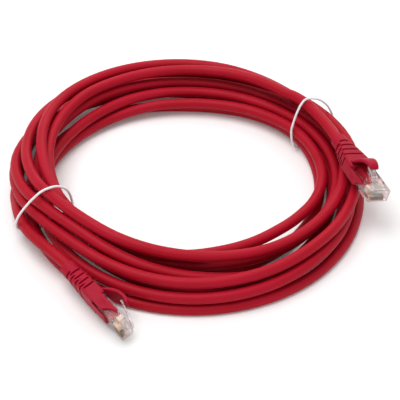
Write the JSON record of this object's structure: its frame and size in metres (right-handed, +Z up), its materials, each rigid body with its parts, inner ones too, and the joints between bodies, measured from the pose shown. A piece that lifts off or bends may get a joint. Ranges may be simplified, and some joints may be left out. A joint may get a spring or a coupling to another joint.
{
  "type": "ethernet patch cable",
  "caption": "Coiled network patch cable held by two wire ties, with a booted modular plug, latch and latch guard at each end.",
  "frame": {"origin": "middle of the whole outline, on the surface that the coil lies on", "axes": "+Z up; seen from -Y the coil lies with one plug at the front left and the other at the right"},
  "size_m": [0.1919, 0.2032, 0.0365],
  "materials": {
    "jacket": "smooth soft PVC jacket, slight sheen",
    "tie_wire": "white plastic over wire, fine twist",
    "boot": "soft moulded PVC, matte",
    "clear_plastic": "clear polycarbonate",
    "contact_gold": "gold plated",
    "load_bar": "cream moulded plastic",
    "wire_orange": "wire insulation",
    "wire_green": "wire insulation",
    "wire_blue": "wire insulation",
    "wire_brown": "wire insulation"
  },
  "bodies": {
    "cable": {"coil": "jacket", "tail_a": "jacket", "tail_b": "jacket", "tie_left": "tie_wire", "tie_right": "tie_wire", "boot_a": "boot", "housing_a": "clear_plastic", "contacts_a": "contact_gold", "load_bar_a": "load_bar", "strain_bar_a": "clear_plastic", "jacket_end_a": "jacket", "orange_pair_a": "wire_orange", "green_pair_a": "wire_green", "blue_pair_a": "wire_blue", "brown_pair_a": "wire_brown", "boot_b": "boot", "housing_b": "clear_plastic", "contacts_b": "contact_gold", "load_bar_b": "load_bar", "strain_bar_b": "clear_plastic", "jacket_end_b": "jacket", "orange_pair_b": "wire_orange", "green_pair_b": "wire_green", "blue_pair_b": "wire_blue", "brown_pair_b": "wire_brown"},
    "guard_a": {"guard_a": "boot"},
    "latch_a": {"latch_a": "clear_plastic"},
    "guard_b": {"guard_b": "boot"},
    "latch_b": {"latch_b": "clear_plastic"}
  },
  "joints": [
    {"name": "guard_a_press", "type": "hinge", "parent": "cable", "child": "guard_a", "pos_m": [-0.04322, -0.078, 0.01003], "axis": [0.1355, 0.2322, -0.9632], "range_deg": [0, 10], "stiffness_Nm_per_rad": 0.02},
    {"name": "latch_a_press", "type": "hinge", "parent": "cable", "child": "latch_a", "pos_m": [-0.02939, -0.09522, 0.00783], "axis": [0.1355, 0.2322, -0.9632], "range_deg": [-10, 0], "stiffness_Nm_per_rad": 0.02},
    {"name": "guard_b_press", "type": "hinge", "parent": "cable", "child": "guard_b", "pos_m": [0.08302, -0.00464, 0.02909], "axis": [0.9104, 0.3229, -0.2588], "range_deg": [0, 10], "stiffness_Nm_per_rad": 0.02},
    {"name": "latch_b_press", "type": "hinge", "parent": "cable", "child": "latch_b", "pos_m": [0.09057, -0.02551, 0.02962], "axis": [0.9104, 0.3229, -0.2588], "range_deg": [-10, 0], "stiffness_Nm_per_rad": 0.02}
  ],
  "couplings": [
    {"joint": "latch_a_press", "follows": "guard_a_press", "ratio": -1},
    {"joint": "latch_b_press", "follows": "guard_b_press", "ratio": -1}
  ]
}
